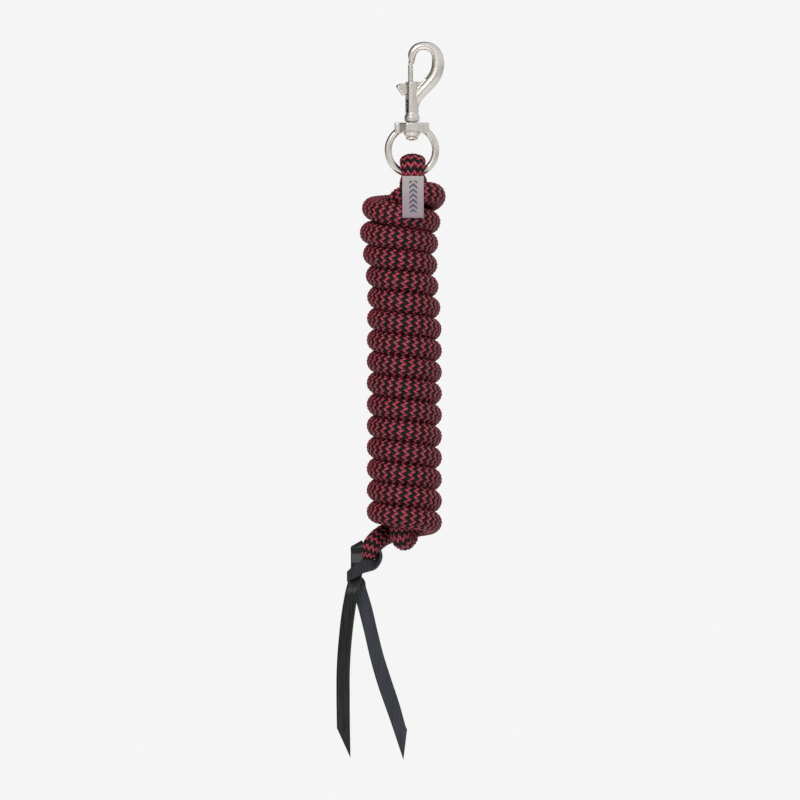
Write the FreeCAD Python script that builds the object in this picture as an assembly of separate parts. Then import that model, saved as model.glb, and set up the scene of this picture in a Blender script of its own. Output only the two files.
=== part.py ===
"""Horse lead rope: trigger snap with a swivel ring, braided rope coiled into a hank, leather popper.

Millimetres. +Z is up, +X to the right, +Y away from the front.
The origin is the centre of the round seat inside the snap's hook, where a halter's ring hangs.
"""
import FreeCAD
import Part
import math
import os

Vector = FreeCAD.Vector

# --- snap ---------------------------------------------------------------------------------------
SEAT_R = 5.2                # inner radius of the hook, on the origin
SWIVEL_X = -7.8             # the barrel, the swivel and the ring share this upright axis
BARREL_R = 4.25
BARREL_TOP = -15.3
BODY_FOOT = -41.7           # face that bears on the swivel collar
BEAK_END = -3.9
WEB_HALF = 2.2              # half thickness of the web between the hook and the barrel
BOLT_X = -8.65
BOLT_R = 1.62
BOLT_TOP = -4.35
PILOT_R = 1.1               # nose of the bolt, which meets the beak
PILOT_TOP = -4.12
BOLT_FOOT = -27.0
BORE_R = 1.69
BORE_FOOT = -37.0           # top of the rivet, where the spring stands
SLOT_TURN = 52.0            # degrees that the trigger slot is turned towards the front
SLOT_WIDTH = 2.2
SLOT_FOOT = -35.6
THUMB_TURN = 20.0           # degrees that the thumb piece is turned towards the front
THUMB_HALF = 2.1            # half its thickness
STEM_WIDTH = 1.4
STEM_REACH = 5.0            # from the bolt's axis out to the corner of the thumb piece
STEM_DEPTH = 0.5            # how far behind the bolt's axis the trigger's stem reaches
SPRING_R = 1.2
SPRING_WIRE = 0.18
SPRING_TURNS = 7

# --- swivel -------------------------------------------------------------------------------------
RING_R = 15.35              # to the centre of the wire
WIRE_R = 2.3
RING_Z = -59.75
COLLAR_TOP = -41.8
COLLAR_FOOT = -49.0
COLLAR_HALF = 11.2
COLLAR_DEPTH = 7.0          # from the axis to the front facet
HEAD_SEAT = -46.0           # face of the collar that the rivet head turns under
RIVET_R = 2.3
RIVET_HOLE_R = 2.37
HEAD_R = 5.75

# --- rope ---------------------------------------------------------------------------------------
WRAP_R = 6.75               # radius of the rope in the wraps
STRAND_R = 5.9              # radius of the two strands squeezed inside the wraps
CORE_SHARE = 0.6            # core radius as a share of the rope's radius
COVER_GAP = 0.05
WIRE_Z = RING_Z - RING_R    # the bottom of the ring, where the rope's eye hangs
EYE_R = 9.1                 # eye, to the centre of the flattened rope
EYE_WIDE = 8.25             # half width of the flattened rope
EYE_THICK = 4.1             # half thickness of the flattened rope
HANK_X = -12.7
WRAP_RX = 17.2              # the wraps are an oval helix
WRAP_RY = 20.2
PITCH = 13.87               # 14 mm rope, wound tight
WRAP_Z0 = -106.1            # height of the first regular wrap at the right-hand side
FIRST_TURN = -0.75
LAST_TURN = 14.25
STRAND_DX = 1.7             # the two inner strands stand either side of the hank's axis
STRAND_DY = 5.8
STRAND_TOP = -110.0
STRAND_EVEN = -166.0        # below this the inner strands are straight
STRAND_FOOT = -294.0
BIGHT_DX = 2.9
BIGHT_DY = 5.4
BIGHT_Z = -306.0
SECTION_POINTS = 12         # points round each section
LOFT_STATIONS = 6           # stations in one loft
WRAP_STATIONS = 12          # stations in one turn
THREAD_R = 0.4
STITCH_HALF = 3.0           # half the width of a loop of stitching

# --- leather popper -----------------------------------------------------------------------------
TIE_X = -34.6               # the thong crosses the rope's end on a line along X
TIE_Y = 5.2
TIE_Z = -318.8
TIE_R = 2.3
TIE_HOLE_R = 2.37
THONG_THICK = 1.8
KNOT_X = -43.2
KNOT_Z = -333.5
FRONT_HINGE = (-46.0, 3.6, -341.5)
BACK_HINGE = (-41.5, 7.4, -341.5)

# --- label --------------------------------------------------------------------------------------
LABEL_X = -7.1
LABEL_WIDE = 13.9
LABEL_THICK = 0.8
LABEL_TOP_Y = -14.6
LABEL_TOP_Z = -76.6
LABEL_STITCHES = 5


# --- helpers ------------------------------------------------------------------------------------
def cylinder(radius, centre, top, foot):
    """Upright cylinder on (x, y) between two heights."""
    return Part.makeCylinder(radius, top - foot, Vector(centre[0], centre[1], foot))


def box(low, high):
    size = [high[i] - low[i] for i in range(3)]
    return Part.makeBox(size[0], size[1], size[2], Vector(*low))


def prism(outline, start, sweep):
    """Flat outline of points, closed and swept along a vector."""
    points = [Vector(*p) + start for p in outline]
    face = Part.Face(Part.makePolygon(points + [points[0]]))
    return face.extrude(sweep)


def turned(profile, x):
    """Solid of revolution about the upright line at x, from (radius, height) points."""
    points = [Vector(x + r, 0, z) for r, z in profile]
    face = Part.Face(Part.makePolygon(points + [points[0]]))
    return face.revolve(Vector(x, 0, 0), Vector(0, 0, 1), 360)


def oval(centre, wide_axis, thin_axis, wide, thin):
    """Closed smooth curve through points of an ellipse."""
    points = []
    for i in range(SECTION_POINTS):
        a = 2 * math.pi * i / SECTION_POINTS
        points.append(centre + wide_axis * (wide * math.cos(a)) + thin_axis * (thin * math.sin(a)))
    curve = Part.BSplineCurve()
    curve.interpolate(Points=points, PeriodicFlag=True)
    return Part.Wire(curve.toShape())


def frames(stations, wide_axis):
    """Centre, wide axis and thin axis at each station, turning as little as possible."""
    centres = [Vector(*s[0]) for s in stations]
    out = []
    last = len(centres) - 1
    for i, centre in enumerate(centres):
        run = centres[min(i + 1, last)] - centres[max(i - 1, 0)]
        run.normalize()
        wide_axis = wide_axis - run * wide_axis.dot(run)
        wide_axis.normalize()
        out.append((centre, wide_axis, run.cross(wide_axis)))
    return out


def loft(stations, wide_axis, solid=True):
    """Smooth skin or solid through (centre, half width, half thickness) stations."""
    wires = [oval(centre, wide, thin, station[1], station[2])
             for (centre, wide, thin), station in zip(frames(stations, wide_axis), stations)]
    return Part.makeLoft(wires, solid, False)


def tube(stations, runs, share=1.0, shrink=0.0):
    """One long solid through oval stations, sewn from lofts of a few stations each.

    runs are the (first, last) indices of the curved stretches; straight stretches lie between them.
    share and shrink give the smaller section of the core.
    """
    placed = frames(stations, Vector(1, 0, 0))
    wires = [oval(centre, wide, thin, s[1] * share - shrink, s[2] * share - shrink)
             for (centre, wide, thin), s in zip(placed, stations)]
    breaks = sorted({i for first, last in runs for i in list(range(first, last, LOFT_STATIONS)) + [last]})
    faces = [Part.Face(wires[0]), Part.Face(wires[-1])]
    for a, b in zip(breaks[:-1], breaks[1:]):
        faces += Part.makeLoft(wires[a:b + 1], False, False).Faces
    shell = Part.makeShell(faces)
    shell.sewShape()
    solid = Part.makeSolid(shell)
    if solid.Volume < 0:
        solid.reverse()
    return solid


# --- snap ---------------------------------------------------------------------------------------
def hook_blank():
    """Tapered round bar bent into the hook, as (x, z, radius) stations from the beak down."""
    bar = [(-8.45, BEAK_END, 1.95), (-7.95, 0.2, 2.4), (-6.9, 4.0, 2.75), (-4.0, 6.8, 2.8),
           (0.1, 7.7, 2.85), (4.6, 6.5, 3.1), (7.8, 3.0, 3.5), (9.0, -1.6, 3.85),
           (8.7, -6.8, 4.05), (6.9, -11.8, 4.1), (3.5, -16.4, 4.0), (-0.6, -20.7, 3.8),
           (-4.0, -25.4, 3.4), (-6.0, -30.5, 2.9)]
    return loft([((x, 0, z), r, r) for x, z, r in bar], Vector(0, 1, 0))


def hook_opening():
    """Teardrop window: a half circle over a side that runs in to the foot of the barrel."""
    left = Vector(-SEAT_R, -12, 0)
    crown = Vector(0, -12, SEAT_R)
    right = Vector(SEAT_R, -12, 0)
    side = Part.BSplineCurve()
    side.interpolate([right, Vector(5.1, -12, -4.1), Vector(4.0, -12, -8.6), Vector(0.4, -12, -13.0),
                      Vector(-3.6, -12, BARREL_TOP)])
    corner = Vector(-6.1, -12, BARREL_TOP)
    cheek = Vector(-6.1, -12, BEAK_END)
    edges = [Part.Arc(left, crown, right).toShape(), side.toShape(),
             Part.makeLine(Vector(-3.6, -12, BARREL_TOP), corner), Part.makeLine(corner, cheek),
             Part.makeLine(cheek, left)]
    return Part.Face(Part.Wire(edges)).extrude(Vector(0, 24, 0))


def barrel():
    return turned([(0, BARREL_TOP), (BARREL_R - 0.5, BARREL_TOP), (BARREL_R, BARREL_TOP - 0.6),
                   (BARREL_R, -35.3), (BARREL_R - 0.35, -36.0), (BARREL_R, -36.8), (4.8, -37.7),
                   (4.8, -40.5), (4.3, -41.0), (3.7, -41.0), (3.7, BODY_FOOT), (0, BODY_FOOT)], SWIVEL_X)


def turned_forward(shape, degrees):
    """Turn a shape made along -X from the bolt's axis towards the front."""
    return shape.rotated(Vector(BOLT_X, 0, 0), Vector(0, 0, 1), degrees)


def web():
    """Flat web that fills the crotch between the barrel and the hook."""
    outline = [(-6.0, 0, -14.8), (0.4, 0, -12.6), (4.6, 0, -16.2), (1.0, 0, -21.5), (-3.0, 0, -28.0),
               (-6.0, 0, -28.0)]
    flat = prism(outline, Vector(0, -WEB_HALF, 0), Vector(0, 2 * WEB_HALF, 0))
    return flat.makeChamfer(0.4, flat.Edges)


def snap_body():
    body = hook_blank().multiFuse([barrel(), web()]).cut(hook_opening())
    slot = box((BOLT_X - 8, -SLOT_WIDTH / 2, SLOT_FOOT), (BOLT_X, SLOT_WIDTH / 2, BARREL_TOP + 0.5))
    body = body.cut(cylinder(BORE_R, (BOLT_X, 0), BARREL_TOP + 0.5, BORE_FOOT - 0.1))
    body = body.cut(turned_forward(slot, SLOT_TURN))
    return body.cut(cylinder(RIVET_R, (SWIVEL_X, 0), BORE_FOOT, BODY_FOOT - 1))


def trigger_stem():
    low = (BOLT_X - STEM_REACH, -STEM_WIDTH / 2, -23.0)
    high = (BOLT_X + STEM_DEPTH, STEM_WIDTH / 2, -17.6)
    return turned_forward(box(low, high), SLOT_TURN)


def gate_bolt():
    rod = cylinder(BOLT_R, (BOLT_X, 0), BOLT_TOP, BOLT_FOOT)
    rod = rod.makeChamfer(0.2, [rod.Edges[0], rod.Edges[2]])
    return rod.fuse(cylinder(PILOT_R, (BOLT_X, 0), PILOT_TOP, BOLT_TOP - 1)).cut(trigger_stem())


def thumb_trigger():
    """Wedge-shaped thumb piece with a ledge on top, on a flat stem through the slot."""
    outline = [(-3.8, 0, -16.6), (-6.6, 0, -16.6), (-9.0, 0, -17.5), (-9.5, 0, -18.9), (-5.3, 0, -24.4),
               (-3.8, 0, -23.9)]
    wedge = prism(outline, Vector(BOLT_X, -THUMB_HALF, 0), Vector(0, 2 * THUMB_HALF, 0))
    wedge = wedge.makeFillet(0.5, wedge.Edges)
    return turned_forward(wedge, THUMB_TURN).fuse(trigger_stem())


def gate_spring():
    rise = BOLT_FOOT - BORE_FOOT - 2 * SPRING_WIRE - 0.04
    helix = Part.makeHelix(rise / SPRING_TURNS, rise, SPRING_R)
    section = Part.Wire(Part.makeCircle(SPRING_WIRE, Vector(SPRING_R, 0, 0), Vector(0, 1, 0)))
    coil = Part.Wire(helix).makePipeShell([section], True, True)
    return coil.translated(Vector(BOLT_X, 0, BORE_FOOT + SPRING_WIRE + 0.02))


# --- swivel -------------------------------------------------------------------------------------
def swivel_ring():
    """Round wire ring with a faceted collar that the rivet turns in."""
    centre = Vector(SWIVEL_X, 0, RING_Z)
    wire = Part.makeTorus(RING_R, WIRE_R, centre, Vector(0, 1, 0))
    quarter = [(COLLAR_HALF, 2.4), (8.4, 2.9), (3.3, COLLAR_DEPTH)]
    half = quarter + [(-x, y) for x, y in reversed(quarter)]
    outline = [(x, y, 0) for x, y in half] + [(x, -y, 0) for x, y in reversed(half)]
    collar = prism(outline, Vector(SWIVEL_X, 0, COLLAR_FOOT), Vector(0, 0, COLLAR_TOP - COLLAR_FOOT))
    collar = collar.makeChamfer(0.5, collar.Edges)
    arch = Part.makeCylinder(RING_R - WIRE_R, 20, centre - Vector(0, 10, 0), Vector(0, 1, 0))
    ring = collar.cut(arch).fuse(wire)
    ring = ring.cut(cylinder(HEAD_R + 0.25, (SWIVEL_X, 0), HEAD_SEAT, RING_Z))
    return ring.cut(cylinder(RIVET_HOLE_R, (SWIVEL_X, 0), COLLAR_TOP + 1, RING_Z))


def swivel_rivet():
    top = BORE_FOOT - 0.02
    return turned([(0, -53.5), (2.5, -53.3), (3.7, -52.6), (4.0, -51.8), (3.4, -51.3), (4.5, -50.7),
                   (5.5, -49.0), (HEAD_R, -46.8), (HEAD_R - 0.4, HEAD_SEAT - 0.1), (RIVET_R, HEAD_SEAT - 0.1),
                   (RIVET_R, top), (0, top)], SWIVEL_X)


# --- rope ---------------------------------------------------------------------------------------
def lean(turn):
    """How far the upper wraps sit to the left of the hank's axis."""
    return -3.0 * math.exp(-((turn - 0.8) / 2.2) ** 2)


def wrap_point(turn):
    """Centre of the rope in the wraps: right, back, left, front as turn grows, always downwards."""
    a = 2 * math.pi * turn
    widen = 1.8 * math.exp(-((turn - 0.2) / 0.9) ** 2)
    waist = 1.1 * math.exp(-((turn - 2.9) / 1.5) ** 2)
    lift = 2.0 * math.exp(-((turn + 0.5) / 0.22) ** 2)
    return (HANK_X + lean(turn) + (WRAP_RX + widen - waist) * math.cos(a), (WRAP_RY + widen) * math.sin(a),
            WRAP_Z0 - PITCH * turn + lift)


def strand_point(side, z):
    """Centre of an inner strand: side is 1 for the one that comes down, -1 for the one going up."""
    return (HANK_X + lean((WRAP_Z0 - z) / PITCH) + side * STRAND_DX, side * STRAND_DY, z)


def strand(side, heights):
    return [(strand_point(side, z), STRAND_R, STRAND_R) for z in heights]


def eye_stations():
    """From the sewn-down end, up and over the ring's wire, and down into the hank."""
    x = SWIVEL_X
    stations = [((x, -3.9, -96.0), 6.6, 2.0), ((x, -4.5, -89.5), 7.4, 2.6), ((x, -7.0, -82.0), 8.0, 3.6)]
    for degrees in range(180, -1, -30):
        a = math.radians(degrees)
        stations.append(((x, EYE_R * math.cos(a), WIRE_Z + EYE_R * math.sin(a)), EYE_WIDE, EYE_THICK))
    return stations + [((x, 7.4, -82.0), 7.9, 4.4), ((x - 0.2, 4.0, -90.0), 7.0, 5.5),
                       ((x - 1.2, 4.9, -99.0), 6.2, STRAND_R)]


def bight_stations():
    """The turn at the foot of the hank, between the two inner strands."""
    reach = math.hypot(BIGHT_DX, BIGHT_DY)
    stations = []
    for degrees in range(0, 181, 30):
        a = math.radians(degrees)
        centre = (HANK_X + BIGHT_DX * math.cos(a), BIGHT_DY * math.cos(a), BIGHT_Z - reach * math.sin(a))
        stations.append((centre, 5.95, 5.95))
    return stations


def crossing_stations():
    """The rising strand comes out at the upper left and crosses in front of the neck."""
    keys = [(-17.4, -5.3, -103.0, 5.8), (-18.2, -5.3, -96.8, 5.7), (-17.0, -9.6, -92.0, 5.9),
            (-11.8, -14.2, -88.9, 6.3), (-5.4, -15.8, -87.6, 6.6), (-0.3, -13.6, -87.3, 6.7),
            (4.8, -8.0, -87.8, 6.8), (6.6, 0.0, -89.4, 6.8), (4.6, 9.0, -91.8, 6.8),
            (-2.2, 17.0, -93.9, WRAP_R)]
    return [((x, y, z), r, r) for x, y, z, r in keys]


def tail_stations():
    """Behind the bight, out at the lower left, narrowing to the end."""
    keys = [(-19.8, 18.4, -306.0, 6.6), (-25.8, 13.9, -308.6, 6.4),
            (-30.6, 9.0, -312.2, 6.1), (-33.4, 6.2, -315.6, 5.7), (TIE_X, TIE_Y, TIE_Z, 5.3),
            (TIE_X - 0.3, TIE_Y - 0.3, TIE_Z - 3.4, 4.9), (TIE_X - 0.4, TIE_Y - 0.4, TIE_Z - 5.9, 3.4)]
    return [((x, y, z), r, r) for x, y, z, r in keys]


def rope_stations():
    """All stations of the one continuous rope, and the (first, last) indices of its curved runs."""
    upper = [-122.0, -136.0, -150.0, STRAND_EVEN]
    top = eye_stations() + strand(1, [-108.0] + upper)
    foot = strand(1, [STRAND_FOOT]) + bight_stations() + strand(-1, [STRAND_FOOT])
    turns = round((LAST_TURN - FIRST_TURN) * WRAP_STATIONS)
    wraps = [(wrap_point(FIRST_TURN + i / WRAP_STATIONS), WRAP_R, WRAP_R) for i in range(turns + 1)]
    rest = strand(-1, upper[::-1] + [STRAND_TOP]) + crossing_stations() + wraps + tail_stations()
    runs = []
    first = 0
    for run in (top, foot, rest):
        runs.append((first, first + len(run) - 1))
        first += len(run)
    return top + foot + rest, runs


def tie_hole():
    return Part.makeCylinder(TIE_HOLE_R, 30, Vector(TIE_X - 15, TIE_Y, TIE_Z), Vector(1, 0, 0))


def rope_cover():
    """Braided cover, closed at both ends, with the hole for the thong."""
    stations, runs = rope_stations()
    hollow = tube(*core_stations(stations, runs), share=CORE_SHARE)
    return tube(stations, runs).cut(hollow).cut(tie_hole())


def rope_core():
    """Core of straight-laid yarn inside the cover."""
    return tube(*core_stations(*rope_stations()), share=CORE_SHARE, shrink=COVER_GAP).cut(tie_hole())


def core_stations(stations, runs):
    """The core stops one station short of each end of the cover."""
    last = len(stations) - 3
    return stations[1:-1], [(max(a - 1, 0), min(b - 1, last)) for a, b in runs]


def eye_stitching():
    """Three loops of thread that sew the short end of the eye to the standing part."""
    loops = []
    for z, front, back in ((-86.0, -9.2, 10.7), (-89.2, -7.4, 10.0), (-92.4, -6.5, 10.1)):
        posts = [Part.makeCylinder(THREAD_R, back - front, Vector(SWIVEL_X + x, front, z), Vector(0, 1, 0))
                 for x in (-STITCH_HALF, STITCH_HALF)]
        bars = [Part.makeCylinder(THREAD_R, 2 * STITCH_HALF, Vector(SWIVEL_X - STITCH_HALF, y, z), Vector(1, 0, 0))
                for y in (front, back)]
        corners = [Part.makeSphere(THREAD_R, Vector(SWIVEL_X + x, y, z))
                   for x in (-STITCH_HALF, STITCH_HALF) for y in (front, back)]
        loops.append(posts[0].multiFuse(posts[1:] + bars + corners))
    return Part.makeCompound(loops)


# --- label --------------------------------------------------------------------------------------
def label_ribbon():
    """Folded satin tape that hangs from the neck over the crossing strand and the first wrap."""
    spine = [(LABEL_TOP_Y, LABEL_TOP_Z), (-18.3, -79.4), (-22.0, -82.6), (-24.2, -87.0), (-26.7, -92.5),
             (-29.3, -98.0), (-30.4, -103.4)]
    x = LABEL_X - LABEL_WIDE / 2
    front = Part.BSplineCurve()
    front.interpolate([Vector(x, y, z) for y, z in spine])
    back = Part.BSplineCurve()
    back.interpolate([Vector(x, y + LABEL_THICK, z - 0.3) for y, z in spine[:-1]]
                     + [Vector(x, spine[-1][0] + LABEL_THICK, spine[-1][1])])
    ends = [Part.makeLine(front.StartPoint, back.StartPoint), Part.makeLine(front.EndPoint, back.EndPoint)]
    outline = Part.Wire(Part.__sortEdges__([front.toShape(), back.toShape()] + ends))
    return Part.Face(outline).extrude(Vector(LABEL_WIDE, 0, 0))


def label_stitching():
    """Row of thread stitches along the label's top edge."""
    down = Vector(0, -3.7, -2.8)
    down.normalize()
    out = Vector(0, down.z, -down.y)
    start = Vector(LABEL_X, LABEL_TOP_Y + LABEL_THICK / 2, LABEL_TOP_Z - 0.15) + down * 1.3
    stitches = []
    for i in range(LABEL_STITCHES):
        x = (i - (LABEL_STITCHES - 1) / 2) * LABEL_WIDE / LABEL_STITCHES
        ends = [start + Vector(x + side, 0, 0) for side in (-0.9, 0.9)]
        posts = [Part.makeCylinder(0.2, 1.4, end - out * 0.7, out) for end in ends]
        bars = [Part.makeCylinder(0.2, 1.8, ends[0] + out * lift, Vector(1, 0, 0)) for lift in (-0.55, 0.55)]
        stitches.append(posts[0].multiFuse(posts[1:] + bars))
    return Part.makeCompound(stitches)


# --- leather popper -----------------------------------------------------------------------------
def popper_knot():
    """The thong where it runs through the rope's end, comes down both sides and is knotted."""
    tie = Part.makeCylinder(TIE_R, 11.0, Vector(TIE_X - 5.5, TIE_Y, TIE_Z), Vector(1, 0, 0))
    left_keys = [(-40.0, -318.8, 2.3, 2.3), (-42.6, -319.3, 2.9, 1.6), (-44.3, -321.8, 3.3, 1.1),
                 (-44.5, -326.0, 3.6, 0.95), (-43.6, -331.5, 3.6, 0.95)]
    right_keys = [(-29.2, -318.8, 2.3, 2.3), (-27.3, -319.3, 2.2, 1.9), (-26.1, -321.4, 2.8, 1.3),
                  (-26.7, -325.0, 3.6, 1.0), (-29.4, -328.8, 3.9, 0.95), (-33.4, -331.2, 3.9, 0.95),
                  (-38.2, -332.6, 3.8, 1.0), (-42.0, -333.3, 3.4, 1.2)]
    left = loft([((x, TIE_Y, z), w, t) for x, z, w, t in left_keys], Vector(0, 0, 1))
    right = loft([((x, TIE_Y, z), w, t) for x, z, w, t in right_keys], Vector(0, 1, 0))
    stretch = FreeCAD.Matrix()
    stretch.scale(Vector(6.3, 3.7, 6.6))
    knot = Part.makeSphere(1).transformGeometry(stretch).translated(Vector(KNOT_X, TIE_Y + 0.2, KNOT_Z))
    return tie.multiFuse([left, right, knot])


def popper_tail(left, right, tip, y, top):
    """Flat strap hanging in one upright plane, cut to a slanted tip."""
    sides = []
    for edge in (left, right):
        curve = Part.BSplineCurve()
        curve.interpolate([Vector(x, y - THONG_THICK / 2, z) for x, z in edge])
        sides.append(curve)
    low = Vector(tip[0], y - THONG_THICK / 2, tip[1])
    lines = [Part.makeLine(sides[0].StartPoint, sides[1].StartPoint), Part.makeLine(sides[0].EndPoint, low),
             Part.makeLine(low, sides[1].EndPoint)]
    outline = Part.Wire(Part.__sortEdges__([side.toShape() for side in sides] + lines))
    strap = Part.Face(outline).extrude(Vector(0, THONG_THICK, 0))
    upper = [edge for edge in strap.Edges if all(abs(v.Z - top) < 0.01 for v in edge.Vertexes)
             and edge.Length > THONG_THICK + 1]
    return strap.makeFillet(THONG_THICK / 2 - 0.05, upper)


def popper_front_tail():
    """The left tail, which leaves the knot in front."""
    top = FRONT_HINGE[2]
    left = [(-50.3, top), (-52.6, -356.0), (-55.2, -376.0), (-56.4, -396.0), (-56.5, -413.0), (-56.3, -433.5)]
    right = [(-41.6, top), (-43.8, -356.0), (-46.7, -376.0), (-48.0, -396.0), (-48.0, -413.0), (-47.9, -438.0)]
    return popper_tail(left, right, (-47.5, -452.8), FRONT_HINGE[1], top)


def popper_back_tail():
    """The right tail, which leaves the knot behind."""
    top = BACK_HINGE[2]
    left = [(-45.6, top), (-42.4, -354.0), (-38.4, -371.6), (-35.1, -386.3), (-30.6, -403.4), (-19.5, -433.2)]
    right = [(-37.2, top), (-33.8, -355.0), (-30.0, -371.6), (-26.3, -386.3), (-20.7, -403.4), (-10.9, -434.2)]
    return popper_tail(left, right, (-13.2, -454.0), BACK_HINGE[1], top)


PARTS = (snap_body, gate_bolt, thumb_trigger, gate_spring, swivel_ring, swivel_rivet, rope_cover, rope_core,
         eye_stitching, label_ribbon, label_stitching, popper_knot, popper_front_tail, popper_back_tail)

os.makedirs("parts", exist_ok=True)
for make in PARTS:
    make().exportStep("parts/%s.step" % make.__name__)
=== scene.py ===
"""Looks of the lead rope: braided rope, nickel snap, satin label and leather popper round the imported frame.

Lengths that describe the object are in millimetres and turned into metres by MM.
"""
import math

import bpy
import numpy as np
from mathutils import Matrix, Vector


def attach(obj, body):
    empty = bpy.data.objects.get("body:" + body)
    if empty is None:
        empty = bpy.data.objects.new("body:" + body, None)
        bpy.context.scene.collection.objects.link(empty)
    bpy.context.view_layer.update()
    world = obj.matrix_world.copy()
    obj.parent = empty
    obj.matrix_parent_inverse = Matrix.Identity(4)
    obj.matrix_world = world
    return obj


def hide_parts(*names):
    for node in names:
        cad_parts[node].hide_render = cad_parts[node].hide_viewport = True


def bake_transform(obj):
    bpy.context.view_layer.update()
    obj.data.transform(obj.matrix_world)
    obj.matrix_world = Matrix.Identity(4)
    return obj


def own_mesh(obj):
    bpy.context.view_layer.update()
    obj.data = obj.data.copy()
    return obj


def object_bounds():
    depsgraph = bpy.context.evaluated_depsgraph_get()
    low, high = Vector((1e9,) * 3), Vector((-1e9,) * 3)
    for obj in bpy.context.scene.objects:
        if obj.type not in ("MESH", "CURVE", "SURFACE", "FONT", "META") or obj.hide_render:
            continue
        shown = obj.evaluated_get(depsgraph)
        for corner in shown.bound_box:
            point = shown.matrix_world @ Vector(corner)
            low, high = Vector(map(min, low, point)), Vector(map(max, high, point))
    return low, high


MM = 0.001
SWIVEL_X = -7.8

# --- rope -----------------------------------------------------------------------------------------
ROPE_R = 6.55               # to the valleys between the yarns in the wraps
STRAND_R = 5.85             # the same in the strands inside the hank
WIRE_Z = -75.1              # bottom of the swivel ring, where the eye hangs
EYE_R = 8.5
HANK_X = -12.7
WRAP_RX = 17.2
WRAP_RY = 20.2
PITCH = 13.87
WRAP_Z0 = -106.1
FIRST_TURN = -0.75
LAST_TURN = 14.25
STRAND_DX = 1.7
STRAND_DY = 5.8
STRAND_TOP = -110.0
STRAND_FOOT = -294.0
BIGHT_DX = 2.9
BIGHT_DY = 5.4
BIGHT_Z = -306.0
TIE = (-34.6, 5.2, -318.8)

# --- braid ----------------------------------------------------------------------------------------
CARRIERS = 20               # yarns that run each way round the rope, a multiple of four
ROW = 1.08                  # length of rope per row of crossings
FINE = 3                    # mesh steps per crossing
YARN_RISE = 0.72            # height of a yarn's crown over the valleys

# --- label ----------------------------------------------------------------------------------------
LABEL_X = -7.1
LABEL_HALF = 6.95
LABEL_THICK = 0.8
# y, z down the middle of the label, from the hem that is sewn to the eye to the loose end.
LABEL_SPINE = ((-12.2, -78.0), (-12.9, -77.0), (-14.2, -76.7), (-15.8, -77.6), (-18.3, -79.4),
               (-22.0, -82.6), (-24.2, -87.0), (-26.7, -92.5), (-29.3, -98.0), (-30.4, -103.4))
LABEL_REFLECTION_TOP = -75.5           # from here a painted reflection on its tone falls off
# length over which the painted reflection fades
LABEL_REFLECTION_FALL = 28.0
RIB_PITCH = 0.55
MARK_X = -6.95              # middle of the woven mark
MARK_Z = -89.5
MARK_HALF = 2.55
MARK_REACH = 10.2           # half its height
CHEVRON_PITCH = 3.3
CHEVRON_SLOPE = 0.9

# --- gate spring ----------------------------------------------------------------------------------
SPRING_X = -8.65
SPRING_FOOT = -37.0
SPRING_TOP = -27.0
SPRING_R = 1.2
SPRING_WIRE = 0.18
SPRING_TURNS = 7

# --- leather --------------------------------------------------------------------------------------
LEATHER_THICK = 1.9
KNOT_SHADE_FOOT = -341.0          # below it the leather has no painted shade
KNOT_SHADE_FADE = 8.0             # height over which painted shade darkens it towards the knot
# Each strap is a row of places: x, y, z of its middle, then x, y, z of half its width.
FRONT_STRAP = ((-37.0, 8.0, -319.5, 3.4, 0.0, 1.2), (-40.2, 11.6, -318.4, 3.7, 0.0, 1.8),
               (-43.0, 10.8, -315.4, 3.7, -0.2, 2.0), (-43.3, 7.6, -314.9, 3.7, -0.5, 1.9),
               (-43.2, 6.4, -316.6, 4.1, -0.7, 0.6), (-43.1, 6.3, -319.6, 4.1, -0.7, 0.3),
               (-43.1, 5.3, -323.6, 4.1, -0.7, 0.2), (-43.1, 4.2, -327.4, 4.1, -0.7, 0.2),
               (-43.2, 4.3, -329.8, 4.1, -0.7, 0.3), (-43.8, 5.0, -332.6, 4.1, -0.7, 0.4),
               (-44.7, 4.8, -337.2, 4.1, -0.8, 0.5), (-45.9, 4.2, -342.2, 4.2, -0.8, 0.4),
               (-47.0, 3.3, -347.0, 4.2, -0.8, 0.5), (-48.2, 3.2, -354.0, 4.3, -0.9, 0.7),
               (-50.9, 3.6, -376.0, 4.2, -0.9, 0.4), (-52.2, 3.6, -396.0, 4.2, -0.8, 0.1),
               (-52.3, 3.5, -413.0, 4.25, -0.7, 0.0), (-52.1, 3.6, -432.0, 4.2, -0.5, -1.2),
               (-51.9, 3.6, -443.1, 4.4, 0.0, -9.6))
BACK_STRAP = ((-34.0, 5.2, -317.4, 0.0, 3.0, 0.0), (-30.0, 5.2, -317.3, -0.4, 3.6, 0.4),
              (-28.8, 4.9, -321.0, -1.2, 3.6, 0.2), (-29.6, 3.9, -325.0, -1.2, 3.5, 0.9),
              (-31.6, 2.2, -327.6, -0.3, 2.8, 2.6), (-35.4, 0.8, -328.3, 0.4, 1.0, 3.9),
              (-39.6, 0.0, -329.0, -0.3, 0.2, 4.3), (-44.2, 0.0, -332.0, -1.2, 0.0, 3.6),
              (-47.0, 1.0, -333.9, -1.0, 0.2, 3.2), (-48.8, 3.2, -335.0, -0.2, 0.2, 2.9),
              (-48.2, 6.4, -336.0, 0.6, 0.0, 3.2), (-45.4, 8.8, -336.4, 2.2, 0.0, 3.2),
              (-42.6, 8.4, -338.8, 3.8, 0.0, 1.6), (-41.6, 7.6, -343.5, 4.2, 0.0, 1.0),
              (-38.4, 7.4, -354.5, 4.3, 0.0, 1.1), (-34.2, 7.4, -371.6, 4.2, 0.0, 1.0),
              (-30.7, 7.4, -386.3, 4.3, 0.0, 1.2), (-25.6, 7.4, -403.4, 4.5, 0.0, 1.5),
              (-19.8, 7.4, -420.5, 4.3, 0.0, 1.6), (-16.4, 7.4, -431.5, 4.2, 0.0, 0.6),
              (-12.1, 7.4, -444.1, 1.2, 0.0, 9.9))


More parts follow.
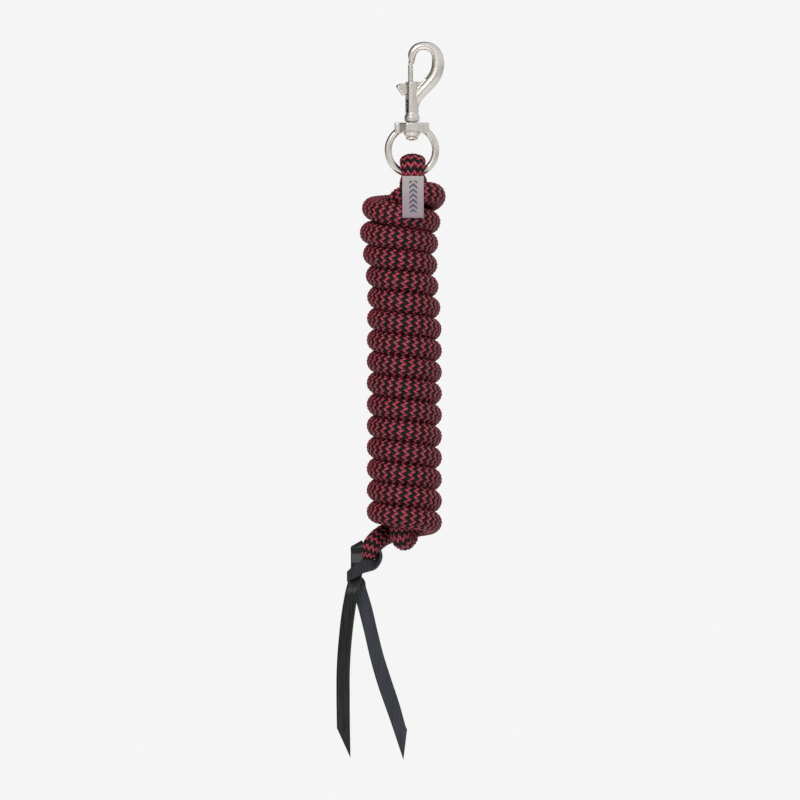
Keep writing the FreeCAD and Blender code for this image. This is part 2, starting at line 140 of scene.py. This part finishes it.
def material(name):
    """New node material: the material, its nodes, its links and its Principled shader."""
    made = bpy.data.materials.new(name)
    made.use_nodes = True
    nodes = made.node_tree.nodes
    shader = nodes["Principled BSDF"]
    return made, nodes, made.node_tree.links, shader


# --- rope centreline ------------------------------------------------------------------------------
def lean(turn):
    """How far the upper wraps sit to the left of the hank's axis."""
    return -3.0 * math.exp(-((turn - 0.8) / 2.2) ** 2)


def wrap_point(turn):
    """Middle of the rope in the wraps; the first wrap is wider and lifts, and the third is drawn in."""
    a = 2 * math.pi * turn
    widen = 1.8 * math.exp(-((turn - 0.2) / 0.9) ** 2)
    waist = 1.1 * math.exp(-((turn - 2.9) / 1.5) ** 2)
    lift = 2.0 * math.exp(-((turn + 0.5) / 0.22) ** 2)
    return (HANK_X + lean(turn) + (WRAP_RX + widen - waist) * math.cos(a), (WRAP_RY + widen) * math.sin(a),
            WRAP_Z0 - PITCH * turn + lift)


def strand_point(side, z):
    """Middle of a strand inside the hank: side 1 leads down and -1 leads up."""
    return (HANK_X + lean((WRAP_Z0 - z) / PITCH) + side * STRAND_DX, side * STRAND_DY, z)


def strand(side, heights):
    return [(*strand_point(side, z), STRAND_R, STRAND_R) for z in heights]


def eye_stations():
    """From the short end, sewn flat behind the label, up over the ring and down into the hank."""
    x = SWIVEL_X + 0.5
    stations = [(x, -3.8, -97.0, 5.6, 0.6), (x, -4.0, -95.0, 6.6, 1.9), (x, -4.7, -89.5, 7.8, 2.4),
                (x, -6.4, -84.0, 8.2, 3.2), (x, -7.9, -79.4, 8.0, 3.6)]
    for degrees in range(180, -1, -15):
        a = math.radians(degrees)
        bulge = math.sin(a) ** 0.6 if degrees else 0.0
        y, z = EYE_R * math.cos(a), WIRE_Z + EYE_R * math.sin(a)
        stations.append((x, y, z, 6.7 + 1.3 * bulge, 3.8 + 0.7 * bulge))
    return stations + [(x + 0.6, 7.9, -79.4, 8.2, 3.8), (x + 0.6, 6.2, -84.0, 8.4, 4.4),
                       (x, 4.2, -90.0, 7.2, 5.5), (x - 1.7, 4.9, -99.0, 6.2, STRAND_R)]


def bight_stations():
    """The turn at the hank's foot, from the down strand to the up strand."""
    reach = math.hypot(BIGHT_DX, BIGHT_DY)
    stations = []
    for degrees in range(0, 181, 15):
        a = math.radians(degrees)
        stations.append((HANK_X + BIGHT_DX * math.cos(a), BIGHT_DY * math.cos(a),
                         BIGHT_Z - reach * math.sin(a), 5.95, 5.95))
    return stations


def crossing_stations():
    """From the top of the up strand round to the first wrap."""
    keys = [(-17.4, -5.3, -103.0, 5.8), (-18.2, -5.3, -96.8, 5.7), (-17.0, -9.6, -92.0, 5.9),
            (-11.8, -14.2, -88.9, 6.3), (-5.4, -15.8, -87.6, 6.6), (-0.3, -13.6, -87.3, 6.7),
            (4.8, -8.0, -87.8, 6.8), (6.6, 0.0, -89.4, 6.8), (4.6, 9.0, -91.8, 6.8),
            (-2.2, 17.0, -93.9, 6.7)]
    return [(x, y, z, r, r) for x, y, z, r in keys]


def tail_stations():
    """From the last wrap to the tapered end with the popper's hole."""
    x, y, z = TIE
    keys = [(-19.8, 18.4, -306.0, 6.4), (-25.8, 13.9, -308.6, 6.2), (-30.6, 9.0, -312.2, 6.0),
            (-33.4, 6.2, -315.6, 5.8), (x, y, z, 5.3), (x - 0.9, y - 0.3, z - 3.2, 4.4),
            (x - 1.2, y - 0.4, z - 5.6, 3.1), (x - 1.3, y - 0.4, z - 6.9, 0.9)]
    return [(a, b, c, r, r) for a, b, c, r in keys]


def rope_stations():
    """The whole rope as rows of x, y, z, half width and half thickness."""
    upper = [-122.0, -136.0, -150.0, -166.0]
    middle = [-198.0, -230.0, -262.0, STRAND_FOOT]
    turns = round((LAST_TURN - FIRST_TURN) * 12)
    wraps = [(*wrap_point(FIRST_TURN + i / 12), ROPE_R, ROPE_R) for i in range(turns + 1)]
    down = strand(1, [-108.0] + upper + middle)
    up = strand(-1, middle[::-1] + upper[::-1] + [STRAND_TOP])
    return eye_stations() + down + bight_stations() + up + crossing_stations() + wraps + tail_stations()


def smooth_path(stations, steps=8):
    """Cubic curve through the stations, with slopes taken from the chords."""
    p = np.array(stations, float)
    chord = np.linalg.norm(np.diff(p[:, :3], axis=0), axis=1)[:, None]
    slope = np.diff(p, axis=0) / chord
    inner = (slope[:-1] * chord[1:] + slope[1:] * chord[:-1]) / (chord[1:] + chord[:-1])
    tangent = np.vstack([slope[:1], inner, slope[-1:]])
    rows = []
    for i in range(len(p) - 1):
        t = (np.arange(steps) / steps)[:, None]
        h = chord[i]
        rows.append((2 * t**3 - 3 * t**2 + 1) * p[i] + (t**3 - 2 * t**2 + t) * h * tangent[i]
                    + (3 * t**2 - 2 * t**3) * p[i + 1] + (t**3 - t**2) * h * tangent[i + 1])
    return np.vstack(rows + [p[-1:]])


class Path:
    """The rope's centreline by length, with a cross-section frame that never twists."""

    def __init__(self, stations):
        dense = smooth_path(stations)
        pieces = np.linalg.norm(np.diff(dense[:, :3], axis=0), axis=1)
        self.length = np.concatenate([[0], np.cumsum(pieces)])
        self.dense = dense
        run = np.gradient(dense[:, :3], self.length, axis=0)
        run /= np.linalg.norm(run, axis=1)[:, None]
        wide = np.zeros_like(run)
        axis = np.array([1.0, 0, 0])
        for i, direction in enumerate(run):
            axis = axis - direction * (axis @ direction)
            axis /= np.linalg.norm(axis)
            wide[i] = axis
        self.wide = wide
        self.thin = np.cross(run, wide)

    def at(self, s, table):
        """Rows of a table that goes with the path, at lengths along it."""
        return np.stack([np.interp(s, self.length, column) for column in np.atleast_2d(table.T)], axis=-1)

    def near(self, point):
        """Length along the rope of the place nearest to a point."""
        return self.length[np.argmin(np.linalg.norm(self.dense[:, :3] - np.array(point), axis=1))]


# --- braid mesh -----------------------------------------------------------------------------------
def yarn_at(u, v):
    """For places in crossing units: which yarn is on top, its index, and the place across and along it.

    u counts the yarns that run one way and v the ones that run the other way. Each yarn floats over
    two others and dives under the next two.
    """
    i = np.floor(u)
    j = np.floor(v)
    phase = (i + j) % 4
    first = phase < 2
    across = np.where(first, u - i, v - j)
    along = np.where(first, v - j + (phase == 1), u - i + (phase == 3)) / 2
    return first, np.where(first, i, j), across, along


def mesh_from_arrays(name, points, quads):
    mesh = bpy.data.meshes.new(name)
    mesh.vertices.add(len(points))
    mesh.vertices.foreach_set("co", points.astype(np.float32).ravel())
    mesh.loops.add(quads.size)
    mesh.loops.foreach_set("vertex_index", quads.astype(np.int32).ravel())
    mesh.polygons.add(len(quads))
    mesh.polygons.foreach_set("loop_start", np.arange(0, quads.size, 4, dtype=np.int32))
    mesh.update(calc_edges=True)
    mesh.polygons.foreach_set("use_smooth", np.ones(len(quads), bool))
    obj = bpy.data.objects.new(name, mesh)
    bpy.context.scene.collection.objects.link(obj)
    return obj


def braid(name, path, start, end, materials, fine=FINE):
    """Braided tube between two lengths along the path. Mesh lines follow the yarns' edges."""
    around = CARRIERS * fine
    step = ROW / fine
    first_row = int(start / step)
    rows = int(end / step) - first_row
    count = np.arange(around)
    I, D = np.meshgrid(count, np.arange(rows + 2) + first_row)
    s = D * step
    angle = math.pi * (2 * I + D) / around
    _, own, across, along = yarn_at(I / fine, (I + D) / fine)
    crown = np.sin(math.pi * across) ** 0.6 * np.sin(math.pi * along) ** 0.65
    rise = YARN_RISE * crown * (1 + 0.15 * np.sin(1.9 * own) * np.cos(0.37 * D))
    place = path.at(s, path.dense)
    wide = path.at(s, path.wide)
    thin = path.at(s, path.thin)
    cos, sin = np.cos(angle)[..., None], np.sin(angle)[..., None]
    a, b = place[..., 3:4], place[..., 4:5]
    out = wide * cos * b + thin * sin * a
    out /= np.linalg.norm(out, axis=-1)[..., None]
    rise = rise[..., None] * np.clip(np.minimum(a, b) / STRAND_R, 0.1, 1)
    points = (place[..., :3] + wide * cos * a + thin * sin * b + out * rise).reshape(-1, 3)

    fi, fd = np.meshgrid(count, np.arange(1, rows + 1))
    after = (fi + 1) % around
    quads = np.stack([fd * around + fi, (fd - 1) * around + after, fd * around + after,
                      (fd + 1) * around + fi], axis=-1).reshape(-1, 4)
    obj = mesh_from_arrays(name, points * MM, quads)
    mesh = obj.data
    for made in materials:
        mesh.materials.append(made)
    row = fi + fd + first_row
    first, index, _, _ = yarn_at((fi + 0.5) / fine, (row + 0.5) / fine)
    mesh.polygons.foreach_set("material_index", (index % 2).astype(np.int32).ravel())
    height = mesh.attributes.new("crown", "FLOAT", "POINT")
    height.data.foreach_set("value", crown.astype(np.float32).ravel())
    step_i, step_v = np.array([0, 1, 1, 0]), np.array([0, 0, 1, 1])
    corner_u = (fi[..., None] + step_i) / fine
    corner_v = (row[..., None] + step_v) / fine
    first = first[..., None]
    add_uv(mesh, "yarn", np.where(first, corner_u, corner_v + 0.37), np.where(first, corner_v, corner_u))
    turn = fi + fd - 1
    strips = max(1, round(math.sqrt((rows + around) / around)))
    length = (rows + around) // strips + 1
    strip = turn // length
    add_uv(mesh, "OFBake", (strip * (around + 2) + fi)[..., None] + step_i + 0.5,
           (turn - strip * length)[..., None] + step_v + 0.5, strips * (around + 2), length + 2)
    return obj


def add_uv(mesh, name, u, v, wide=1, high=1):
    layer = mesh.uv_layers.new(name=name)
    layer.data.foreach_set("uv", np.stack([u / wide, v / high], axis=-1).astype(np.float32).ravel())


# --- straps -----------------------------------------------------------------------------------------
def strap(name, keys, thick, corner, materials):
    """Flat strap through rows of middle and half width, with small bevels along its edges.

    The materials are for the front face, the back face and the cut edges, or one for all.
    """
    rows = smooth_path(keys, 10)
    centre, half = rows[:, None, :3], rows[:, None, 3:]
    run = np.gradient(rows[:, :3], axis=0)[:, None]
    reach = np.linalg.norm(half, axis=-1)[..., None]
    wide = half / reach
    face = np.cross(run, wide)
    face /= np.linalg.norm(face, axis=-1)[..., None]
    inset = np.array([0, corner, 3 * corner])[None, :, None]
    side = np.concatenate([inset - reach, -reach / 3, reach / 3, (reach - inset)[:, ::-1]], axis=1)
    high = thick / 2
    lift = np.array([high - corner] + [high] * 6 + [high - corner])[None, :, None]
    front = centre + wide * side + face * lift
    back = (centre + wide * side - face * lift)[:, ::-1]
    loop = np.concatenate([front, back], axis=1)
    count, ring = loop.shape[:2]
    i, j = np.meshgrid(np.arange(ring), np.arange(count - 1))
    after = (i + 1) % ring
    quads = np.stack([j * ring + i, j * ring + after, (j + 1) * ring + after, (j + 1) * ring + i], axis=-1)
    cap = np.arange(ring // 2 - 1)
    cap = np.stack([cap, ring - 1 - cap, ring - 2 - cap, cap + 1], axis=-1)
    quads = np.concatenate([quads.reshape(-1, 4), cap, cap[:, ::-1] + (count - 1) * ring])
    obj = mesh_from_arrays(name, loop.reshape(-1, 3) * MM, quads)
    for made in materials:
        obj.data.materials.append(made)
    if len(materials) == 3:
        column = np.arange(len(quads)) % ring
        which = np.where(column < ring // 2, 0, 1)
        which[(column == ring // 2 - 1) | (column == ring - 1)] = 2
        which[(count - 1) * ring:] = 2
        obj.data.polygons.foreach_set("material_index", which.astype(np.int32))
    return obj


# --- materials ------------------------------------------------------------------------------------
def noise(nodes, links, vector, scale, stretch=(1, 1, 1), detail=3.0):
    """Noise factor on a stretched copy of some coordinates."""
    mapping = nodes.new("ShaderNodeMapping")
    mapping.inputs["Scale"].default_value = [scale * part for part in stretch]
    links.new(vector, mapping.inputs["Vector"])
    made = nodes.new("ShaderNodeTexNoise")
    made.inputs["Scale"].default_value = 1.0
    made.inputs["Detail"].default_value = detail
    links.new(mapping.outputs["Vector"], made.inputs["Vector"])
    return made.outputs["Fac"]


def ramp(nodes, links, factor, stops):
    """Colours at positions along a factor."""
    made = nodes.new("ShaderNodeValToRGB")
    for element, (position, colour) in zip(made.color_ramp.elements, (stops[0], stops[-1])):
        element.position = position
        element.color = (*colour, 1)
    for position, colour in stops[1:-1]:
        made.color_ramp.elements.new(position).color = (*colour, 1)
    links.new(factor, made.inputs["Fac"])
    return made.outputs["Color"]


def bump(nodes, links, shader, height, depth, strength=0.5):
    made = nodes.new("ShaderNodeBump")
    made.inputs["Strength"].default_value = strength
    made.inputs["Distance"].default_value = depth * MM
    links.new(height, made.inputs["Height"])
    links.new(made.outputs["Normal"], shader.inputs["Normal"])


def math_node(nodes, links, operation, *values):
    """Result of a sum on numbers and sockets."""
    made = nodes.new("ShaderNodeMath")
    made.operation = operation
    for socket, value in zip(made.inputs, values):
        if isinstance(value, (int, float)):
            socket.default_value = value
        else:
            links.new(value, socket)
    return made.outputs["Value"]


def multiply(nodes, links, colour, factor):
    """Colour darkened by a factor from 0 to 1."""
    made = nodes.new("ShaderNodeMix")
    made.data_type = "RGBA"
    made.blend_type = "MULTIPLY"
    made.inputs["Factor"].default_value = 1.0
    links.new(colour, made.inputs["A"])
    links.new(factor, made.inputs["B"])
    return made.outputs["Result"]


def object_coords(nodes):
    """Coordinates of the surface, in metres."""
    return nodes.new("ShaderNodeTexCoord").outputs["Object"]


def yarn_material(name, dark, light, valley_shade, shine):
    """Twisted polyester yarn: fine fibres along the yarn, with painted shade darkening it towards the valleys
    where it dives under its neighbours.
    """
    made, nodes, links, shader = material(name)
    uv = nodes.new("ShaderNodeUVMap")
    uv.uv_map = "yarn"
    turned = nodes.new("ShaderNodeMapping")
    turned.inputs["Rotation"].default_value = (0, 0, math.radians(14))
    links.new(uv.outputs["UV"], turned.inputs["Vector"])
    fibres = noise(nodes, links, turned.outputs["Vector"], 1.0, (8.0, 1.3, 1.0))
    crown = nodes.new("ShaderNodeAttribute")
    crown.attribute_name = "crown"
    # Painted shade: the colour is multiplied down towards the valley factor where the crown falls away
    # between the yarns.
    shade = ramp(nodes, links, crown.outputs["Fac"], ((0.08, (valley_shade,) * 3), (0.7, (1.0,) * 3)))
    colour = ramp(nodes, links, fibres, ((0.3, dark), (0.68, light)))
    links.new(multiply(nodes, links, colour, shade), shader.inputs["Base Color"])
    bump(nodes, links, shader, fibres, 0.12, 0.6)
    shader.inputs["Roughness"].default_value = 0.46
    shader.inputs["Sheen Weight"].default_value = shine / 3
    shader.inputs["Sheen Roughness"].default_value = 0.4
    shader.inputs["Specular IOR Level"].default_value = shine
    return made


def metal_material(name, colour, roughness):
    """Plated casting: a little unevenness in tone, shine and surface."""
    made, nodes, links, shader = material(name)
    spread = noise(nodes, links, object_coords(nodes), 260.0)
    low = [part * 0.92 for part in colour]
    links.new(ramp(nodes, links, spread, ((0.35, low), (0.65, colour))), shader.inputs["Base Color"])
    rough = math_node(nodes, links, "MULTIPLY_ADD", spread, 0.12, roughness - 0.06)
    links.new(rough, shader.inputs["Roughness"])
    bump(nodes, links, shader, spread, 0.01, 0.04)
    shader.inputs["Metallic"].default_value = 1.0
    return made


def leather_material(name, dark, light, roughness):
    """Dressed leather: fine grain, faint streaks along the strap, and painted shade that darkens it towards
    the knot.
    """
    made, nodes, links, shader = material(name)
    streaks = noise(nodes, links, object_coords(nodes), 900.0, (1, 1, 0.06))
    grain = noise(nodes, links, object_coords(nodes), 2200.0, detail=2.0)
    colour = ramp(nodes, links, streaks, ((0.3, dark), (0.7, light)))
    # Painted shade: the colour darkens to 0.6 over the last few millimetres up into the knot, standing in for
    # the knot's shade.
    axes = nodes.new("ShaderNodeSeparateXYZ")
    links.new(object_coords(nodes), axes.inputs["Vector"])
    above = math_node(nodes, links, "ADD", axes.outputs["Z"], -KNOT_SHADE_FOOT * MM)
    knot_shade = math_node(nodes, links, "DIVIDE", above, KNOT_SHADE_FADE * MM)
    shade = ramp(nodes, links, knot_shade, ((0.0, (1.0,) * 3), (1.0, (0.6,) * 3)))
    links.new(multiply(nodes, links, colour, shade), shader.inputs["Base Color"])
    rough = math_node(nodes, links, "MULTIPLY_ADD", grain, 0.2, roughness - 0.1)
    links.new(rough, shader.inputs["Roughness"])
    bump(nodes, links, shader, grain, 0.06, 0.35)
    shader.inputs["Specular IOR Level"].default_value = 0.19
    return made


def thread_material(name, dark, light):
    """Twisted thread."""
    made, nodes, links, shader = material(name)
    twist = noise(nodes, links, object_coords(nodes), 3000.0)
    links.new(ramp(nodes, links, twist, ((0.3, dark), (0.7, light))), shader.inputs["Base Color"])
    bump(nodes, links, shader, twist, 0.08)
    shader.inputs["Roughness"].default_value = 0.6
    return made


def chevrons(nodes, links, x, z):
    """1 on the chevrons of the label's woven mark and 0 off them, for places in millimetres."""
    across = math_node(nodes, links, "ABSOLUTE", math_node(nodes, links, "SUBTRACT", x, MARK_X))
    along = math_node(nodes, links, "ABSOLUTE", math_node(nodes, links, "SUBTRACT", z, MARK_Z))
    wave = math_node(nodes, links, "MULTIPLY_ADD", across, CHEVRON_SLOPE, z)
    cycle = math_node(nodes, links, "FRACT", math_node(nodes, links, "DIVIDE", wave, CHEVRON_PITCH))
    mark = math_node(nodes, links, "LESS_THAN", cycle, 0.5)
    for value, limit in ((across, MARK_HALF), (along, MARK_REACH)):
        inside = math_node(nodes, links, "LESS_THAN", value, limit)
        mark = math_node(nodes, links, "MULTIPLY", mark, inside)
    return mark


def satin_material():
    """Silver satin tape with fine ribs, painted shade between the ribs, a painted reflection that fades down
    from its top and a woven band of navy chevrons.
    """
    made, nodes, links, shader = material("silver_satin")
    axes = nodes.new("ShaderNodeSeparateXYZ")
    links.new(object_coords(nodes), axes.inputs["Vector"])
    x, z = (math_node(nodes, links, "DIVIDE", axes.outputs[axis], MM) for axis in "XZ")
    ribs = math_node(nodes, links, "SINE", math_node(nodes, links, "MULTIPLY", x, 2 * math.pi / RIB_PITCH))
    # Painted reflection: the tape is lighter and warmer at its top and fades to a darker lilac grey towards
    # the loose end.
    fall = math_node(nodes, links, "MULTIPLY_ADD", z, -1 / LABEL_REFLECTION_FALL, LABEL_REFLECTION_TOP / LABEL_REFLECTION_FALL)
    base = ramp(nodes, links, fall, ((0.0, (0.32, 0.30, 0.28)), (0.45, (0.235, 0.195, 0.215)),
                                     (1.0, (0.19, 0.15, 0.175))))
    weave = noise(nodes, links, object_coords(nodes), 1800.0, (1, 1, 0.3))
    navy = ramp(nodes, links, weave, ((0.3, (0.006, 0.008, 0.034)), (0.7, (0.026, 0.03, 0.085))))
    mix = nodes.new("ShaderNodeMix")
    mix.data_type = "RGBA"
    links.new(math_node(nodes, links, "MULTIPLY", chevrons(nodes, links, x, z), 0.9), mix.inputs["Factor"])
    links.new(base, mix.inputs["A"])
    links.new(navy, mix.inputs["B"])
    lit = math_node(nodes, links, "MULTIPLY_ADD", ribs, 0.5, 0.5)
    shade = ramp(nodes, links, lit, ((0.0, (0.84,) * 3), (1.0, (1.0,) * 3)))
    links.new(multiply(nodes, links, mix.outputs["Result"], shade), shader.inputs["Base Color"])
    bump(nodes, links, shader, ribs, 0.05, 0.4)
    shader.inputs["Roughness"].default_value = 0.42
    shader.inputs["Sheen Weight"].default_value = 0.2
    return made


# --- stage ----------------------------------------------------------------------------------------
def area_light(name, place, aim, size, power, seen=False, lights=True):
    """Soft light; seen says whether shiny pieces reflect it, and lights whether dull ones are lit by it."""
    data = bpy.data.lights.new(name, "AREA")
    data.shape = "RECTANGLE"
    data.size, data.size_y = size
    data.energy = power
    obj = bpy.data.objects.new(name, data)
    bpy.context.scene.collection.objects.link(obj)
    obj.location = place
    obj.rotation_mode = "QUATERNION"
    obj.rotation_quaternion = (Vector(aim) - Vector(place)).to_track_quat("-Z", "Y")
    obj.visible_glossy = seen
    obj.visible_diffuse = lights
    obj.visible_camera = False


def studio(low, high):
    """Pale floor, pale surroundings, soft lights and a camera square on to the front."""
    scene = bpy.context.scene
    scene.view_settings.view_transform = "Standard"
    world = bpy.data.worlds.new("studio")
    scene.world = world
    world.use_nodes = True
    nodes, links = world.node_tree.nodes, world.node_tree.links
    background = nodes["Background"]
    path = nodes.new("ShaderNodeLightPath")
    axes = nodes.new("ShaderNodeSeparateXYZ")
    links.new(nodes.new("ShaderNodeTexCoord").outputs["Generated"], axes.inputs["Vector"])
    # The surroundings fall off from the front right to the back left, where the metal's edges turn dark.
    across = math_node(nodes, links, "MULTIPLY", axes.outputs["X"], -0.6)
    along = math_node(nodes, links, "MULTIPLY", axes.outputs["Y"], 0.8)
    behind = math_node(nodes, links, "ADD", across, along)
    room = ramp(nodes, links, behind, ((0.0, (0.84, 0.83, 0.81)), (0.18, (0.74, 0.73, 0.7)),
                                       (0.35, (0.2, 0.185, 0.16)), (1.0, (0.09, 0.08, 0.07))))
    mix = nodes.new("ShaderNodeMix")
    mix.data_type = "RGBA"
    mix.inputs["B"].default_value = (0.913, 0.913, 0.913, 1)
    links.new(room, mix.inputs["A"])
    links.new(path.outputs["Is Camera Ray"], mix.inputs["Factor"])
    links.new(mix.outputs["Result"], background.inputs["Color"])

    bpy.ops.mesh.primitive_plane_add(size=40, location=(0, 0, low.z - 0.035))
    floor = bpy.context.object
    floor.name = "floor"
    made, nodes, links, shader = material("pale_floor")
    ray = nodes.new("ShaderNodeLightPath").outputs["Is Camera Ray"]
    links.new(math_node(nodes, links, "MULTIPLY", ray, 0.3), shader.inputs["Emission Strength"])
    shader.inputs["Emission Color"].default_value = (1, 1, 1, 1)
    shader.inputs["Base Color"].default_value = (0.8, 0.8, 0.8, 1)
    shader.inputs["Roughness"].default_value = 0.6
    floor.data.materials.append(made)

    middle = (low + high) / 2
    area_light("key", middle + Vector((-0.5, -1.0, 1.1)), middle, (1.5, 1.2), 15)
    area_light("fill", middle + Vector((0.9, -1.2, 0.0)), middle, (1.0, 1.4), 5)
    area_light("back", middle + Vector((0.3, 1.2, 0.7)), middle, (0.9, 0.6), 6)
    area_light("window", middle + Vector((-0.45, -1.2, 0.75)), middle, (0.4, 0.3), 4.0, seen=True)
    area_light("sheen", (-0.02, -0.32, -0.40), (0, 0, 0), (0.3, 0.12), 0.13, seen=True, lights=False)

    data = bpy.data.cameras.new("camera")
    data.type = "ORTHO"
    data.ortho_scale = 0.5174
    camera = bpy.data.objects.new("camera", data)
    scene.collection.objects.link(camera)
    camera.location = (-0.0155, -1.2, -0.2212)
    camera.rotation_euler = (math.radians(90), 0, 0)
    scene.camera = camera


# --- pieces ---------------------------------------------------------------------------------------
def rope():
    """One braided rope, cut at the back of each turn into pieces that all ride on the hank."""
    path = Path(rope_stations())
    # The fourth number of each yarn is its painted shade in the valleys between yarns.
    yarns = [yarn_material("crimson_yarn", (0.17, 0.009, 0.024), (0.47, 0.055, 0.094), 0.2, 0.2),
             yarn_material("black_yarn", (0.0014, 0.0036, 0.0029), (0.007, 0.014, 0.0115), 0.1, 0.1)]
    down_low, down_foot = (path.near(strand_point(1, z)) for z in (-130.0, -284.0))
    up_foot, up_low = (path.near(strand_point(-1, z)) for z in (-284.0, -130.0))
    cuts = [path.near(wrap_point(turn + 0.25)) for turn in range(15)]
    spans = [("rope_eye", 0, down_low, FINE), ("rope_inner_down", down_low, down_foot, 1),
             ("rope_bight", down_foot, up_foot, FINE), ("rope_inner_up", up_foot, up_low, 1),
             ("rope_crossing", up_low, cuts[0], FINE)]
    spans += [(f"rope_turn_{i + 1:02}", cuts[i], cuts[i + 1], FINE) for i in range(14)]
    spans.append(("rope_tail", cuts[14], path.length[-1], FINE))
    for name, start, end, fine in spans:
        piece = braid(name, path, start, end, yarns, fine)
        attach(piece, "hank")
        if name == "rope_eye":
            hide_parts("rope_cover")


def popper():
    """The thong: one strap from behind the rope to the front tail, one round the knot to the back tail."""
    black = leather_material("black_leather", (0.0004, 0.0004, 0.0005), (0.014, 0.014, 0.0145), 0.26)
    slate = leather_material("slate_leather", (0.018, 0.0185, 0.025), (0.029, 0.030, 0.041), 0.52)
    edge = leather_material("cut_leather", (0.038, 0.045, 0.043), (0.066, 0.078, 0.075), 0.7)
    front = strap("popper_front_strap", FRONT_STRAP, LEATHER_THICK, 0.3, [black, slate, edge])
    back = strap("popper_back_strap", BACK_STRAP, LEATHER_THICK, 0.3, [slate, slate, edge])
    for piece, tail in ((front, "front_tail"), (back, "back_tail")):
        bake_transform(piece)
    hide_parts("popper_knot", "popper_front_tail")
    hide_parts("popper_back_tail")


def label():
    keys = [(LABEL_X, y + LABEL_THICK / 2, z, LABEL_HALF, 0, 0) for y, z in LABEL_SPINE]
    ribbon = strap("woven_label", keys, LABEL_THICK, 0.15, [satin_material()])
    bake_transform(ribbon)
    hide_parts("label_ribbon")


def gate_spring():
    """Compression spring under the bolt; the real one shortens as the gate opens, but this coil is built at
    one fixed length.
    """
    per_turn, around = 24, 8
    steps = SPRING_TURNS * per_turn
    i, j = np.meshgrid(np.arange(steps + 1), np.arange(around), indexing="ij")
    turn = 2 * math.pi * i / per_turn
    section = 2 * math.pi * j / around
    reach = SPRING_R + SPRING_WIRE * np.cos(section)
    ends = 1.2 * SPRING_WIRE
    rise = (SPRING_TOP - SPRING_FOOT - 2 * ends) * i / steps
    high = SPRING_FOOT + ends + rise + SPRING_WIRE * np.sin(section)
    points = np.stack([SPRING_X + reach * np.cos(turn), reach * np.sin(turn), high], axis=-1).reshape(-1, 3)
    i, j = np.meshgrid(np.arange(steps), np.arange(around), indexing="ij")
    after = (j + 1) % around
    quads = np.stack([i * around + j, (i + 1) * around + j, (i + 1) * around + after, i * around + after],
                     axis=-1)
    cap = np.array([[0, 1, 6, 7], [1, 2, 5, 6], [2, 3, 4, 5]])
    quads = np.concatenate([quads.reshape(-1, 4), cap, cap[:, ::-1] + steps * around])
    coil = mesh_from_arrays("spring_coil", points * MM, quads)
    coil.data.materials.append(metal_material("spring_wire", (0.10, 0.095, 0.09), 0.5))
    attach(coil, "snap")
    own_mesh(coil)
    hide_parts("gate_spring")


def finish_castings(nodes):
    """Softens the edges of the castings and gives every shown CAD node its material."""
    nickel = metal_material("nickel", (0.73, 0.70, 0.665), 0.27)
    for name in ("snap_body", "gate_bolt", "thumb_trigger", "swivel_ring", "swivel_rivet"):
        grain = nodes[name].modifiers.new("casting", "REMESH")
        grain.mode = "VOXEL"
        grain.voxel_size = 0.16 * MM
        grain.use_smooth_shade = True
        soft = nodes[name].modifiers.new("softened", "SMOOTH")
        soft.factor = 0.5
        soft.iterations = 24
    crimson = thread_material("crimson_thread", (0.10, 0.008, 0.02), (0.3, 0.02, 0.05))
    silver = thread_material("silver_thread", (0.35, 0.33, 0.33), (0.55, 0.52, 0.52))
    core = thread_material("core_yarn", (0.45, 0.43, 0.40), (0.7, 0.68, 0.64))
    looks = {"snap_body": nickel, "gate_bolt": nickel, "thumb_trigger": nickel, "swivel_ring": nickel,
             "swivel_rivet": nickel, "eye_stitching": crimson,
             "label_stitching": silver, "rope_core": core}
    for name, made in looks.items():
        nodes[name].data.materials.clear()
        nodes[name].data.materials.append(made)


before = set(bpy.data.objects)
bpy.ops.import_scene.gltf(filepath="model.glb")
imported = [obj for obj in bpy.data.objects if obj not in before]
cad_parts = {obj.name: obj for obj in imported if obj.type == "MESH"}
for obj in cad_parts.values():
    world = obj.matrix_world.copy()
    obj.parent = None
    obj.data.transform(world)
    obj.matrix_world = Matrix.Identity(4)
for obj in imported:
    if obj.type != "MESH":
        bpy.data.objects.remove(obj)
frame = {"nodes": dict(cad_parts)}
CAD_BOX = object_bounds()
rope()
popper()
label()
gate_spring()
finish_castings(frame["nodes"])
studio(*CAD_BOX)
